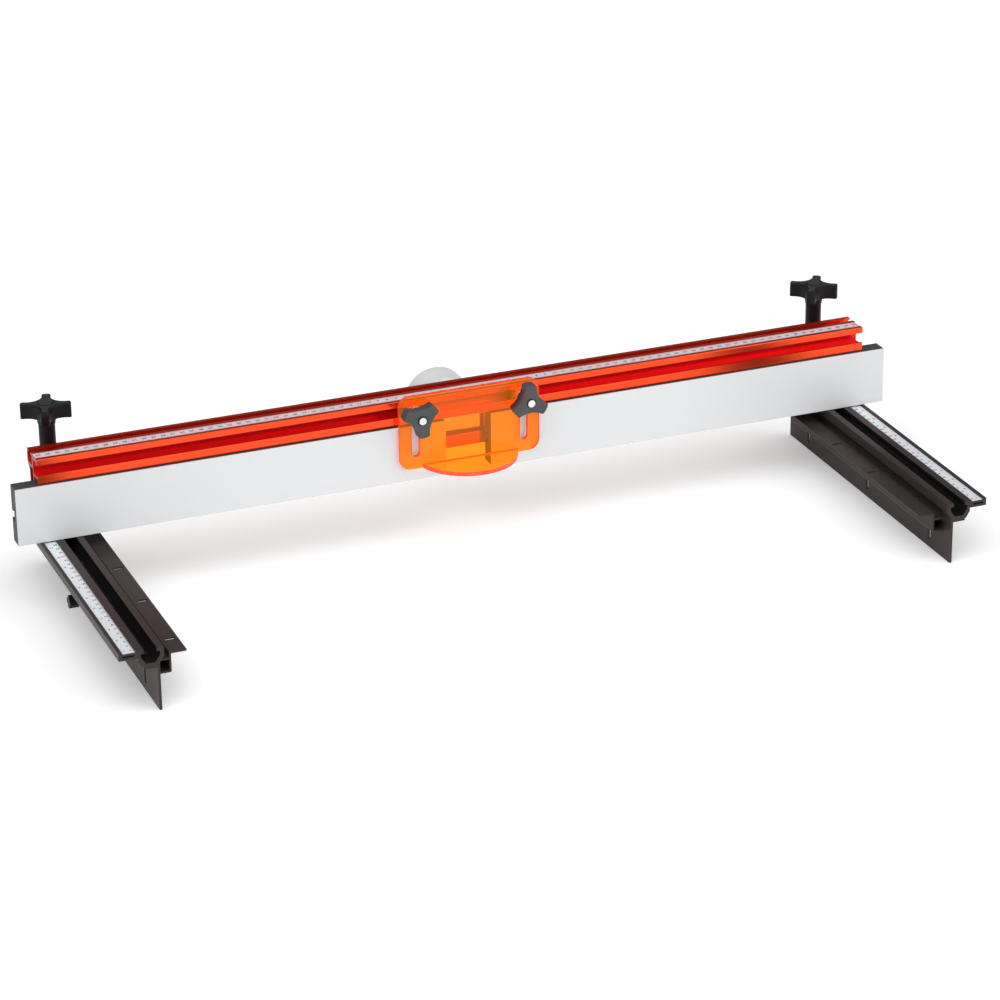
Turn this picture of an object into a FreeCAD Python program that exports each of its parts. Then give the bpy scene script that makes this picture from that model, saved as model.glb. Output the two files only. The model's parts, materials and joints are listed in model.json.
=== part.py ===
import FreeCAD, Part
import math
import os
import Sketcher
from FreeCAD import Placement, Rotation, Vector

# Router-table fence: a long beam with two sliding faces, a bit guard and a dust hood.
# It stands on two rails that hang from slotted table brackets, one at each side.
# Frame: X along the fence (left end negative), Y backwards, Z up.
# The origin is the middle of the bit gap, on the front plane of the faces, at table-top level.
# "in" and "out" mean nearer to and further from X = 0. All sizes are in millimetres.

DRIVING_SIZES = {
    # rails and their place
    "slot_centre": 429.0, "rail_front": -273.0, "rail_length": 370.0,
    "slot_half": 6.4, "slot_room_half": 9.4, "slot_floor_half": 4.5,
    "slot_lip": 4.0, "slot_side_drop": 8.0, "slot_floor_drop": 15.0, "track_bottom": 18.5,
    "track_in": 415.5, "track_in_drop": 10.0, "track_out_wall": 441.5, "track_out_drop": 11.5,
    "track_foot_out": 437.2, "ledge_out": 460.0, "ledge_depth": 8.0,
    "scale_in": 443.2, "scale_out": 456.2, "scale_recess": 1.6, "scale_thickness": 0.4,
    "scale_play": 0.2, "ledge_hole_top": 3.6, "ledge_hole_bottom": 5.4, "ledge_hole_in": 445.0,
    "scale_end_margin": 1.0,
    "track_screw_margin": 20.0, "track_screw_pitch": 110.0, "track_screw_r": 1.75,
    "track_screw_hole_r": 1.95, "track_screw_head_r": 3.6, "track_screw_head": 1.5,
    # side plates under the tracks
    "plate_in": 420.1, "plate_out": 422.7, "plate_top": 16.0, "plate_bottom": 66.0,
    "plate_flange_out": 436.0, "plate_flange_low": 21.0,
    "plate_slot_top": 23.5, "plate_slot_bottom": 58.5, "plate_slot_width": 5.4,
    "plate_slot_margin": 45.0, "plate_slot_pitch": 140.0,
    # table brackets
    "bracket_front": -261.0, "bracket_length": 321.0, "bracket_flange_in": 390.0,
    "bracket_wall_in": 405.5, "bracket_wall_out": 407.5, "bracket_lip_in": 418.0,
    "bracket_lip_out": 420.0, "bracket_top": 13.0, "bracket_skin": 2.0,
    "channel_top": 19.0, "channel_bottom": 34.5, "channel_lip": 4.5,
    "bracket_slot_x": 398.0, "bracket_slot_margin": 28.0, "bracket_slot_pitch": 91.5,
    "bracket_slot_length": 12.0, "bracket_slot_width": 4.5, "bracket_round": 1.8,
    # rail height bolts and knobs
    "rail_bolt_r": 2.5, "rail_bolt_drop": 26.75, "rail_bolt_end": 455.0,
    "rail_bolt_head_in": 412.0, "rail_bolt_head_out": 417.7, "rail_bolt_head_half": 4.5,
    "rail_washer_r": 5.4, "rail_washer_thickness": 1.5, "washer_play": 0.4,
    "rail_knob_tip": 6.8, "rail_knob_waist": 4.9, "rail_knob_head": 10.0,
    "rail_knob_collar": 4.0, "rail_knob_neck": 23.3, "rail_knob_lobe": 17.0,
    "rail_knob_bore_spare": 1.0,
    # beam
    "beam_length": 915.0, "beam_front": 4.0, "beam_back": 40.0, "beam_top": 88.5,
    "front_lip": 2.5, "front_slot_low": 71.0, "front_slot_high": 82.0,
    "front_room_low": 68.5, "front_room_high": 84.5, "front_room_back": 19.0,
    "skirt_bottom": 62.3, "skirt_back": 6.0, "skirt_roof": 66.5,
    "top_lip": 2.5, "top_slot_front": 26.5, "top_slot_back": 34.7,
    "top_room_front": 22.5, "top_room_back": 38.0, "top_room_floor": 75.5,
    "head_heel": 73.5, "web_front": 18.1, "web_back": 33.0, "web_heel": 66.5,
    "web_bottom": 22.0, "web_wall": 2.5, "web_room_top": 72.5,
    "tape_front": 8.5, "tape_back": 21.5, "tape_recess": 0.6, "tape_thickness": 0.4,
    "tape_end_margin": 0.5,
    "beam_round": 1.0,
    "window_half": 25.0, "window_low": 35.0, "window_high": 62.0,
    # faces
    "face_in": 25.1, "face_out": 482.1, "face_bottom": 0.5, "face_top": 61.5,
    "face_thickness": 18.0, "laminate": 0.8,
    "groove_centre": 29.5, "groove_half": 3.9, "groove_neck": 14.3,
    "groove_room_half": 6.4, "groove_room_front": 9.5,
    "face_bolt_near": 110.0, "face_bolt_far": 340.0, "face_bolt_r": 3.0, "face_bolt_hole_r": 3.3,
    "face_bolt_head_half": 6.0, "face_bolt_head_front": 9.9, "face_bolt_head_back": 14.0,
    "face_bolt_end": 50.0, "face_washer_r": 8.0, "face_washer_thickness": 1.5,
    "face_knob_tip": 16.0, "face_knob_waist": 9.5, "face_knob_head": 11.0,
    "face_knob_collar": 7.5, "face_knob_neck": 6.0, "face_knob_lobe": 17.0,
    "face_knob_bore": 17.0,
    # guard
    "guard_half": 77.5, "guard_bottom": 15.0, "guard_top": 95.5, "guard_front": -5.5,
    "guard_back": -0.5, "guard_round": 12.0, "guard_bolt_x": 60.0, "guard_bolt_z": 76.5,
    "guard_slot_width": 8.6, "guard_slot_low": 28.4, "guard_slot_high": 84.0,
    "shelf_thickness": 4.5, "shelf_reach": -48.0, "shelf_r": 54.0,
    "guard_bolt_r": 4.0, "guard_bolt_end": -28.5, "guard_bolt_head_half": 7.5,
    "guard_bolt_head_front": 6.7, "guard_bolt_head_back": 11.2,
    "guard_washer_r": 8.0, "guard_washer_hole_r": 4.5, "guard_washer_thickness": 1.5,
    "guard_knob_tip": 19.6, "guard_knob_waist": 11.0, "guard_knob_head": 12.0,
    "guard_knob_collar": 8.5, "guard_knob_neck": 8.0, "guard_knob_lobe": 18.0,
    "insert_r": 5.4, "insert_sunk": 1.5, "running_gap": 0.05,
    # feet, posts and fence clamps
    "foot_half": 22.0, "foot_back": 92.0, "foot_base": 8.0, "foot_wall": 5.0, "foot_top": 64.0,
    "foot_rib": 4.0, "foot_rib_back": 84.0, "post_y": 66.0, "post_r": 8.5, "post_bore_r": 5.0,
    "post_top": 98.5, "clamp_washer_top": 100.0, "stud_r": 4.0, "stud_low": -7.0,
    "stud_high": 120.0, "clamp_washer_hole_r": 4.5,
    "clamp_knob_tip": 25.75, "clamp_knob_waist": 12.5, "clamp_knob_head": 15.0,
    "clamp_knob_collar": 10.0, "clamp_knob_neck": 7.0, "clamp_knob_lobe": 12.0,
    "clamp_cap_r": 7.6, "clamp_cap_rise": 0.4, "clamp_cap_groove": 1.0,
    "nut_head_half": 9.0, "nut_half_length": 11.0, "nut_head_low": -8.0, "nut_head_high": -4.3,
    "nut_neck_half": 6.1, "nut_top": -0.4,
    "foot_bolt_spread": 12.0, "foot_bolt_z": 40.0, "foot_bolt_r": 3.0, "foot_bolt_head_r": 5.0,
    "foot_bolt_head": 4.0, "foot_bolt_tip": 24.5, "rivet_r": 4.6, "rivet_front": 25.0,
    "foot_bolt_hole_r": 3.2,
    # dust hood
    "hood_half": 46.0, "hood_low": 24.0, "hood_high": 65.0, "hood_plate": 3.0,
    "mouth_half": 27.0, "mouth_low": 31.0, "mouth_high": 61.5, "mouth_round": 5.0,
    "mouth_corner_spread": 18.0,
    "spigot_z": 46.5, "spigot_r": 35.0, "spigot_wall": 3.0, "spigot_front": 62.0,
    "spigot_back": 96.0, "hood_screw_x": 40.0, "hood_screw_inset": 5.0, "hood_screw_r": 1.8,
    "hood_screw_head_r": 3.5, "hood_screw_head": 2.0, "hood_screw_length": 8.0,
}

LOBE_CORNER = 0.09
LOBE_RIM = 0.06
NECK_TAPER = 0.9
SIDES = {"left": -1, "right": 1}
GUARD_KNOB_TURN = {"left": 37.0, "right": 90.0}
CLAMP_KNOB_TURN = {"left": -17.0, "right": 56.0}

doc = FreeCAD.newDocument("RouterFence")
sheet = doc.addObject("Spreadsheet::Sheet", "Sizes")
for row, (alias, number) in enumerate(DRIVING_SIZES.items(), start=1):
    sheet.set(f"A{row}", alias)
    sheet.set(f"B{row}", str(number))
    sheet.setAlias(f"B{row}", alias)
doc.recompute()


class Size:
    """A length from the sheet, with the expression that binds a property to it."""

    def __init__(self, value, text):
        self.value = value
        self.text = text

    def combine(self, other, sign):
        other = as_size(other)
        value = {"+": self.value + other.value, "-": self.value - other.value,
                 "*": self.value * other.value}[sign]
        return Size(value, f"({self.text} {sign} {other.text})")

    def __add__(self, other):
        return self.combine(other, "+")

    def __sub__(self, other):
        return self.combine(other, "-")

    def __mul__(self, other):
        return self.combine(other, "*")

    def __neg__(self):
        return Size(0.0, "0") - self


def as_size(value):
    """A plain number becomes a size with a literal expression."""
    return value if isinstance(value, Size) else Size(float(value), f"({float(value)})")


class Sheet:
    """Reads sizes out of the spreadsheet as attributes."""

    def __getattr__(self, alias):
        return Size(float(sheet.get(alias)), f"Sizes.{alias}")


s = Sheet()
ZERO = Size(0.0, "0")
nodes = []


def keep(item, label):
    """Name a finished sub-part and list it for export."""
    item.Label = label
    nodes.append(item)
    return item


def place(item, x=ZERO, y=ZERO, z=ZERO):
    """Bind an object's position to the sheet."""
    for axis, size in zip("xyz", (x, y, z)):
        item.setExpression(f".Placement.Base.{axis}", as_size(size).text)
    return item


# ---- sketches and features of bodies ----

def sketch_on(body, role):
    """A new sketch on one of the body's own origin planes."""
    sketch = body.newObject("Sketcher::SketchObject", "Sketch")
    plane = [item for item in body.Origin.OriginFeatures if item.Role == role][0]
    sketch.AttachmentSupport = [(plane, "")]
    sketch.MapMode = "FlatFace"
    return sketch


def fix_point(sketch, element, point, x, y):
    """Tie a point of the sketch to its coordinates."""
    for kind, size in (("DistanceX", x), ("DistanceY", y)):
        size = as_size(size)
        number = sketch.addConstraint(Sketcher.Constraint(kind, -1, 1, element, point, size.value))
        sketch.setExpression(f"Constraints[{number}]", size.text)


def add_loop(sketch, corners):
    """A closed outline of straight edges, every corner tied to the sheet."""
    corners = [(as_size(x), as_size(y)) for x, y in corners]
    first = sketch.GeometryCount
    ends = [Vector(x.value, y.value, 0) for x, y in corners]
    for here, there in zip(ends, ends[1:] + ends[:1]):
        sketch.addGeometry(Part.LineSegment(here, there), False)
    for index in range(len(ends)):
        following = first + (index + 1) % len(ends)
        sketch.addConstraint(Sketcher.Constraint("Coincident", first + index, 2, following, 1))
    for index, (x, y) in enumerate(corners):
        fix_point(sketch, first + index, 1, x, y)


def add_circle(sketch, x, y, radius):
    """A full circle with a bound centre and radius."""
    x, y, radius = as_size(x), as_size(y), as_size(radius)
    circle = Part.Circle(Vector(x.value, y.value, 0), Vector(0, 0, 1), radius.value)
    element = sketch.addGeometry(circle, False)
    fix_point(sketch, element, 3, x, y)
    number = sketch.addConstraint(Sketcher.Constraint("Radius", element, radius.value))
    sketch.setExpression(f"Constraints[{number}]", radius.text)


def add_slot(sketch, start, end, radius):
    """A round-ended slot from one end's centre to the other's."""
    start = [as_size(size) for size in start]
    end = [as_size(size) for size in end]
    centres = [Vector(x.value, y.value, 0) for x, y in (start, end)]
    along = math.atan2(centres[1].y - centres[0].y, centres[1].x - centres[0].x)
    first = sketch.GeometryCount
    arcs = []
    for centre, turn in zip(centres, (along + math.pi / 2, along - math.pi / 2)):
        circle = Part.Circle(centre, Vector(0, 0, 1), radius.value)
        arcs.append(Part.ArcOfCircle(circle, turn, turn + math.pi))
    sketch.addGeometry(arcs[0], False)
    sketch.addGeometry(Part.LineSegment(arcs[0].EndPoint, arcs[1].StartPoint), False)
    sketch.addGeometry(arcs[1], False)
    sketch.addGeometry(Part.LineSegment(arcs[1].EndPoint, arcs[0].StartPoint), False)
    for index in range(4):
        following = first + (index + 1) % 4
        sketch.addConstraint(Sketcher.Constraint("Tangent", first + index, 2, following, 1))
    fix_point(sketch, first, 3, *start)
    fix_point(sketch, first + 2, 3, *end)
    number = sketch.addConstraint(Sketcher.Constraint("Radius", first, radius.value))
    sketch.setExpression(f"Constraints[{number}]", radius.text)
    sketch.addConstraint(Sketcher.Constraint("Equal", first, first + 2))


def add_pad(body, sketch, length, middle=False, backwards=False):
    """Extrude a sketch, along its normal or to both sides of its plane."""
    pad = body.newObject("PartDesign::Pad", "Pad")
    pad.Profile = sketch
    pad.Midplane = middle
    pad.Reversed = backwards
    pad.setExpression("Length", as_size(length).text)
    doc.recompute()
    return pad


def cut_through(body, sketch):
    """Cut a sketch right through the body, and make sure that it removes material."""
    before = body.Shape.Volume
    pocket = body.newObject("PartDesign::Pocket", "Pocket")
    pocket.Profile = sketch
    pocket.Type = "ThroughAll"
    pocket.Midplane = True
    doc.recompute()
    if body.Shape.Volume > before - 1.0:
        raise RuntimeError(f"{body.Label}: the cut removes nothing")
    return pocket


def round_corners(body, radius, corners, across):
    """Round the long edges that pass through the given corners, seen along one axis."""
    feature = body.Tip
    flat = {"X": lambda point: (point.y, point.z), "Y": lambda point: (point.x, point.z)}[across]
    wanted = [(as_size(a).value, as_size(b).value) for a, b in corners]
    names = []
    for number, edge in enumerate(feature.Shape.Edges, start=1):
        start, end = (flat(vertex.Point) for vertex in (edge.Vertexes[0], edge.Vertexes[-1]))
        for corner in wanted:
            if math.dist(start, corner) < 1e-4 and math.dist(end, corner) < 1e-4:
                names.append(f"Edge{number}")
    if len(names) != len(wanted):
        raise RuntimeError(f"{body.Label}: found {len(names)} of {len(wanted)} edges")
    fillet = body.newObject("PartDesign::Fillet", "Fillet")
    fillet.Base = (feature, names)
    fillet.setExpression("Radius", radius.text)
    doc.recompute()
    return fillet


def extrusion(role, loops, length, middle=False):
    """A body padded from closed straight-edged loops, the first one outside."""
    body = doc.addObject("PartDesign::Body", "Body")
    sketch = sketch_on(body, role)
    for loop in loops:
        add_loop(sketch, loop)
    add_pad(body, sketch, length, middle, backwards=(role == "XZ_Plane"))
    return body


# ---- primitives and booleans ----

def block(x, y, z):
    """A box between two bound planes along each axis."""
    item = doc.addObject("Part::Box", "Block")
    for name, (low, high) in (("Length", x), ("Width", y), ("Height", z)):
        item.setExpression(name, (as_size(high) - low).text)
    return place(item, x[0], y[0], z[0])


def rod(radius, start, end, x=ZERO, y=ZERO, z=ZERO, along="Z"):
    """A cylinder from start to end along one axis, at the given place across it."""
    item = doc.addObject("Part::Cylinder", "Rod")
    item.setExpression("Radius", as_size(radius).text)
    item.setExpression("Height", (as_size(end) - start).text)
    turn = {"Z": Rotation(), "Y": Rotation(Vector(1, 0, 0), -90), "X": Rotation(Vector(0, 1, 0), 90)}
    item.Placement = Placement(Vector(), turn[along])
    x, y, z = (start if axis == along else size for axis, size in zip("XYZ", (x, y, z)))
    return place(item, x, y, z)


def joined(items):
    """One solid from touching or overlapping pieces."""
    item = doc.addObject("Part::MultiFuse", "Joined")
    item.Shapes = items
    item.Refine = True
    return item


def cut(base, tool):
    """The base with the tool removed."""
    item = doc.addObject("Part::Cut", "Cut")
    item.Base = base
    item.Tool = tool
    return item


def group(items):
    """Identical loose pieces that share one sub-part."""
    item = doc.addObject("Part::Compound", "Group")
    item.Links = items
    return item


def ring(outer, inner, start, end, **where):
    """A washer or a tube."""
    return cut(rod(outer, start, end, **where), rod(inner, start, end, **where))


# ---- knobs ----

def polar(radius, degrees):
    angle = math.radians(degrees)
    return Vector(radius * math.cos(angle), radius * math.sin(angle), 0)


def lobed_face(lobes, tip, waist, half):
    """A flat outline of lobes with hollow flanks, each lobe's end spanning half to either side."""
    step = 360.0 / lobes
    edges = []
    for number in range(lobes):
        middle = number * step
        edges.append(Part.Arc(polar(tip, middle - half), polar(tip, middle),
                              polar(tip, middle + half)).toShape())
        edges.append(Part.Arc(polar(tip, middle + half), polar(waist, middle + step / 2),
                              polar(tip, middle + step - half)).toShape())
    return Part.Face(Part.Wire(edges))


def lobed_knob(label, lobes, prefix, bore, bore_end, placement, capped=False):
    """A moulded knob that stands on Z = 0: a tapered neck, a lobed head and a blind or open bore."""
    tip, waist, head, neck, collar, half = (
        sheet.get(f"{prefix}_knob_{part}")
        for part in ("tip", "waist", "head", "neck", "collar", "lobe"))
    crisp = lobed_face(lobes, tip, waist, half).extrude(Vector(0, 0, head))
    upright = [edge for edge in crisp.Edges if edge.BoundBox.ZLength > head / 2]
    soft = crisp.makeFillet(tip * LOBE_CORNER, upright)
    rim = [edge for edge in soft.Edges
           if edge.BoundBox.ZLength < 1e-6 and edge.BoundBox.ZMin > head / 2]
    soft = soft.makeFillet(tip * LOBE_RIM, rim)
    soft.translate(Vector(0, 0, neck))
    shape = soft.fuse(Part.makeCone(collar * NECK_TAPER, collar, neck))
    if capped:
        shape = with_cap(shape, neck + head)
    shape = shape.cut(Part.makeCylinder(bore, bore_end)).removeSplitter()
    feature = doc.addObject("Part::Feature", "Knob")
    feature.Shape = shape.Solids[0]
    feature.Placement = placement
    return keep(feature, label)


def with_cap(shape, top):
    """A round cap on the knob's top, raised a little inside a shallow ring groove."""
    radius, rise, groove = (sheet.get(f"clamp_cap_{part}") for part in ("r", "rise", "groove"))
    trench = Part.makeCylinder(radius + groove, groove, Vector(0, 0, top - groove))
    cap = Part.makeCylinder(radius, groove + rise, Vector(0, 0, top - groove))
    return shape.cut(trench).fuse(cap)


# ---- rails ----

def rail_track(side, sign):
    """T-slot extrusion with a ledge outside it for the scale."""
    centre = s.slot_centre
    outline = [
        (s.ledge_out, ZERO), (s.scale_out, ZERO), (s.scale_out, -s.scale_recess),
        (s.scale_in, -s.scale_recess), (s.scale_in, ZERO), (centre + s.slot_half, ZERO),
        (centre + s.slot_half, -s.slot_lip), (centre + s.slot_room_half, -s.slot_lip),
        (centre + s.slot_room_half, -s.slot_side_drop),
        (centre + s.slot_floor_half, -s.slot_floor_drop),
        (centre - s.slot_floor_half, -s.slot_floor_drop),
        (centre - s.slot_room_half, -s.slot_side_drop),
        (centre - s.slot_room_half, -s.slot_lip), (centre - s.slot_half, -s.slot_lip),
        (centre - s.slot_half, ZERO), (s.track_in, ZERO), (s.track_in, -s.track_in_drop),
        (s.plate_in, -s.plate_top), (s.plate_out, -s.plate_top), (s.plate_out, -s.track_bottom),
        (s.track_foot_out, -s.track_bottom), (s.track_out_wall, -s.track_out_drop),
        (s.track_out_wall, -s.ledge_depth), (s.ledge_out, -s.ledge_depth),
    ]
    hollow = [
        (s.ledge_hole_in, -s.ledge_hole_top), (s.scale_out, -s.ledge_hole_top),
        (s.scale_out, -s.ledge_hole_bottom), (s.ledge_hole_in, -s.ledge_hole_bottom),
    ]
    loops = [[(x * sign, z) for x, z in loop] for loop in (outline, hollow)]
    body = keep(extrusion("XZ_Plane", loops, s.rail_length), f"{side}_rail_track")
    holes = sketch_on(body, "XY_Plane")
    for number in range(4):
        y = s.track_screw_margin + s.track_screw_pitch * number
        add_circle(holes, centre * sign, y, s.track_screw_hole_r)
    cut_through(body, holes)
    place(body, y=s.rail_front)


def rail_plate(side, sign):
    """Side plate that hangs under the track, with three upright slots."""
    outline = [
        (s.plate_in, -s.plate_top), (s.plate_out, -s.plate_top), (s.plate_out, -s.track_bottom),
        (s.plate_flange_out, -s.track_bottom), (s.plate_flange_out, -s.plate_flange_low),
        (s.plate_out, -s.plate_flange_low), (s.plate_out, -s.plate_bottom),
        (s.plate_in, -s.plate_bottom),
    ]
    loop = [(x * sign, z) for x, z in outline]
    body = keep(extrusion("XZ_Plane", [loop], s.rail_length), f"{side}_rail_plate")
    slots = sketch_on(body, "YZ_Plane")
    radius = s.plate_slot_width * 0.5
    for number in range(3):
        y = s.plate_slot_margin + s.plate_slot_pitch * number
        add_slot(slots, (y, radius - s.plate_slot_bottom), (y, -s.plate_slot_top - radius), radius)
    cut_through(body, slots)
    holes = sketch_on(body, "XY_Plane")
    for number in range(4):
        y = s.track_screw_margin + s.track_screw_pitch * number
        add_circle(holes, s.slot_centre * sign, y, s.track_screw_hole_r)
    cut_through(body, holes)
    place(body, y=s.rail_front)


def rail_screws(side, sign):
    """Pan-head screws that hold the plate's flange to the track's floor."""
    screws = []
    for number in range(4):
        where = {"x": s.slot_centre * sign,
                 "y": s.rail_front + s.track_screw_margin + s.track_screw_pitch * number}
        seat = -s.slot_floor_drop
        shank = rod(s.track_screw_r, -s.plate_flange_low, seat, **where)
        head = rod(s.track_screw_head_r, seat, seat + s.track_screw_head, **where)
        screws.append(joined([shank, head]))
    keep(group(screws), f"{side}_rail_screws")


def rail_scale(side, sign):
    """Self-adhesive scale strip in the ledge's recess."""
    near = (s.scale_in + s.scale_play) * sign
    far = (s.scale_out - s.scale_play) * sign
    low, high = (near, far) if sign > 0 else (far, near)
    start = s.rail_front + s.scale_end_margin
    end = s.rail_front + s.rail_length - s.scale_end_margin
    strip = block((low, high), (start, end), (-s.scale_recess, s.scale_thickness - s.scale_recess))
    keep(strip, f"{side}_rail_scale")


# ---- table brackets and rail height clamps ----

def table_bracket(side, sign):
    """Slotted flange with a channel that holds the heads of the rail height bolts."""
    skin = s.bracket_skin
    outline = [
        (s.bracket_flange_in, -s.bracket_top), (s.bracket_wall_out, -s.bracket_top),
        (s.bracket_wall_out, -s.channel_top), (s.bracket_lip_out, -s.channel_top),
        (s.bracket_lip_out, -s.channel_top - s.channel_lip),
        (s.bracket_lip_in, -s.channel_top - s.channel_lip),
        (s.bracket_lip_in, -s.channel_top - skin), (s.bracket_wall_out, -s.channel_top - skin),
        (s.bracket_wall_out, skin - s.channel_bottom), (s.bracket_lip_in, skin - s.channel_bottom),
        (s.bracket_lip_in, s.channel_lip - s.channel_bottom),
        (s.bracket_lip_out, s.channel_lip - s.channel_bottom),
        (s.bracket_lip_out, -s.channel_bottom), (s.bracket_wall_in, -s.channel_bottom),
        (s.bracket_wall_in, -s.bracket_top - skin), (s.bracket_flange_in, -s.bracket_top - skin),
    ]
    loop = [(x * sign, z) for x, z in outline]
    body = keep(extrusion("XZ_Plane", [loop], s.bracket_length), f"{side}_table_bracket")
    round_corners(body, s.bracket_round, [
        (s.bracket_wall_in * sign, -s.channel_bottom),
        (s.bracket_lip_out * sign, -s.channel_bottom)], across="Y")
    slots = sketch_on(body, "XY_Plane")
    radius = s.bracket_slot_width * 0.5
    reach = s.bracket_slot_length * 0.5 - radius
    middle = s.bracket_slot_x * sign
    near = s.bracket_slot_margin
    far = s.bracket_length - s.bracket_slot_margin
    for y in (near, near + s.bracket_slot_pitch, far - s.bracket_slot_pitch, far):
        add_slot(slots, (middle - reach, y), (middle + reach, y), radius)
    cut_through(body, slots)
    place(body, y=s.bracket_front)


def rail_clamp(side, sign):
    """Bolt, washer and small knob that lock the rail's height at the plate's middle slot."""
    y = s.rail_front + s.plate_slot_margin + s.plate_slot_pitch
    half = s.rail_bolt_head_half

    def along(start, end):
        return (start, end) if sign > 0 else (-end, -start)

    where = {"y": y, "z": -s.rail_bolt_drop, "along": "X"}
    head = block(along(s.rail_bolt_head_in, s.rail_bolt_head_out), (y - half, y + half),
                 (-s.rail_bolt_drop - half, half - s.rail_bolt_drop))
    shank = rod(s.rail_bolt_r, *along(s.rail_bolt_head_out, s.rail_bolt_end), **where)
    keep(joined([head, shank]), f"{side}_rail_bolt")
    face = s.plate_out + s.rail_washer_thickness
    washer = ring(s.rail_washer_r, s.rail_bolt_r + s.washer_play,
                  *along(s.plate_out + s.running_gap, face), **where)
    keep(washer, f"{side}_rail_washer")
    seat = Vector(face.value * sign, y.value, -s.rail_bolt_drop.value)
    turn = Rotation(Vector(0, 0, 1), Vector(sign, 0, 0))
    bore_end = s.rail_bolt_end + s.rail_knob_bore_spare - face
    lobed_knob(f"{side}_rail_knob", 4, "rail", (s.rail_bolt_r + s.running_gap).value,
               bore_end.value, Placement(seat, turn))


# ---- fence ----

def fence_beam():
    """Anodised extrusion: front and top T-slots over a hollow web."""
    head = [
        (s.beam_front, s.beam_top), (s.tape_front, s.beam_top),
        (s.tape_front, s.beam_top - s.tape_recess), (s.tape_back, s.beam_top - s.tape_recess),
        (s.tape_back, s.beam_top), (s.top_slot_front, s.beam_top),
        (s.top_slot_front, s.beam_top - s.top_lip), (s.top_room_front, s.beam_top - s.top_lip),
        (s.top_room_front, s.top_room_floor), (s.top_room_back, s.top_room_floor),
        (s.top_room_back, s.beam_top - s.top_lip), (s.top_slot_back, s.beam_top - s.top_lip),
        (s.top_slot_back, s.beam_top), (s.beam_back, s.beam_top), (s.beam_back, s.head_heel),
        (s.web_back, s.web_heel), (s.web_back, s.web_bottom), (s.web_front, s.web_bottom),
        (s.web_front, s.skirt_roof), (s.skirt_back, s.skirt_roof),
        (s.skirt_back, s.skirt_bottom), (s.beam_front, s.skirt_bottom),
        (s.beam_front, s.front_slot_low), (s.beam_front + s.front_lip, s.front_slot_low),
        (s.beam_front + s.front_lip, s.front_room_low), (s.front_room_back, s.front_room_low),
        (s.front_room_back, s.front_room_high),
        (s.beam_front + s.front_lip, s.front_room_high),
        (s.beam_front + s.front_lip, s.front_slot_high), (s.beam_front, s.front_slot_high),
    ]
    front, back = s.web_front + s.web_wall, s.web_back - s.web_wall
    low = s.web_bottom + s.web_wall
    hollow = [(front, low), (back, low), (back, s.web_room_top), (front, s.web_room_top)]
    body = extrusion("YZ_Plane", [head, hollow], s.beam_length, middle=True)
    keep(body, "fence_beam")
    round_corners(body, s.beam_round, [
        (s.beam_front, s.beam_top), (s.beam_back, s.beam_top), (s.beam_back, s.head_heel),
        (s.web_back, s.web_bottom), (s.web_front, s.web_bottom)], across="X")
    holes = sketch_on(body, "XZ_Plane")
    half = s.window_half
    add_loop(holes, [(-half, s.window_low), (half, s.window_low), (half, s.window_high),
                     (-half, s.window_high)])
    for sign in SIDES.values():
        for x in (s.face_bolt_near, s.face_bolt_far):
            add_circle(holes, x * sign, s.groove_centre, s.face_bolt_hole_r)
        for spread in (-s.foot_bolt_spread, s.foot_bolt_spread):
            add_circle(holes, s.slot_centre * sign + spread, s.foot_bolt_z, s.rivet_r)
        for z in (s.hood_low + s.hood_screw_inset, s.hood_high - s.hood_screw_inset):
            add_circle(holes, s.hood_screw_x * sign, z, s.hood_screw_r)
    cut_through(body, holes)


def beam_scale():
    """Scale strip along the beam's top."""
    low = s.beam_top - s.tape_recess
    half = s.beam_length * 0.5 - s.tape_end_margin
    strip = block((-half, half), (s.tape_front + s.scale_play, s.tape_back - s.scale_play),
                  (low, low + s.tape_thickness))
    keep(strip, "beam_scale")


def face_panel(side, sign):
    """Sliding face: dark core with a bolt groove behind and a thin white laminate in front."""
    back, groove = s.face_thickness, s.groove_centre
    core = [
        (s.laminate, s.face_bottom), (back, s.face_bottom), (back, groove - s.groove_half),
        (s.groove_neck, groove - s.groove_half), (s.groove_neck, groove - s.groove_room_half),
        (s.groove_room_front, groove - s.groove_room_half),
        (s.groove_room_front, groove + s.groove_room_half),
        (s.groove_neck, groove + s.groove_room_half), (s.groove_neck, groove + s.groove_half),
        (back, groove + s.groove_half), (back, s.face_top), (s.laminate, s.face_top),
    ]
    length = s.face_out - s.face_in
    start = s.face_in if sign > 0 else -s.face_out
    keep(place(extrusion("YZ_Plane", [core], length), x=start), f"{side}_face_core")
    skin = block((start, start + length), (ZERO, s.laminate), (s.face_bottom, s.face_top))
    keep(skin, f"{side}_face_laminate")


def face_clamps():
    """Four bolts, heads in the faces' grooves, with a washer and a knob behind the web."""
    bolts, washers = [], []
    half = s.face_bolt_head_half
    for side, sign in SIDES.items():
        for name, x in (("inner", s.face_bolt_near * sign), ("outer", s.face_bolt_far * sign)):
            where = {"x": x, "z": s.groove_centre, "along": "Y"}
            head = block((x - half, x + half), (s.face_bolt_head_front, s.face_bolt_head_back),
                         (s.groove_centre - half, s.groove_centre + half))
            shank = rod(s.face_bolt_r, s.face_bolt_head_back, s.face_bolt_end, **where)
            bolts.append(joined([head, shank]))
            seat = s.web_back + s.face_washer_thickness
            washers.append(ring(s.face_washer_r, s.face_bolt_hole_r, s.web_back, seat, **where))
            turn = Rotation(Vector(0, 0, 1), Vector(0, 1, 0))
            spot = Vector(x.value, seat.value, s.groove_centre.value)
            lobed_knob(f"{side}_{name}_face_knob", 4, "face",
                       (s.face_bolt_r + s.running_gap).value, s.face_knob_bore.value,
                       Placement(spot, turn))
    keep(group(bolts), "face_bolts")
    keep(group(washers), "face_washers")


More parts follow.
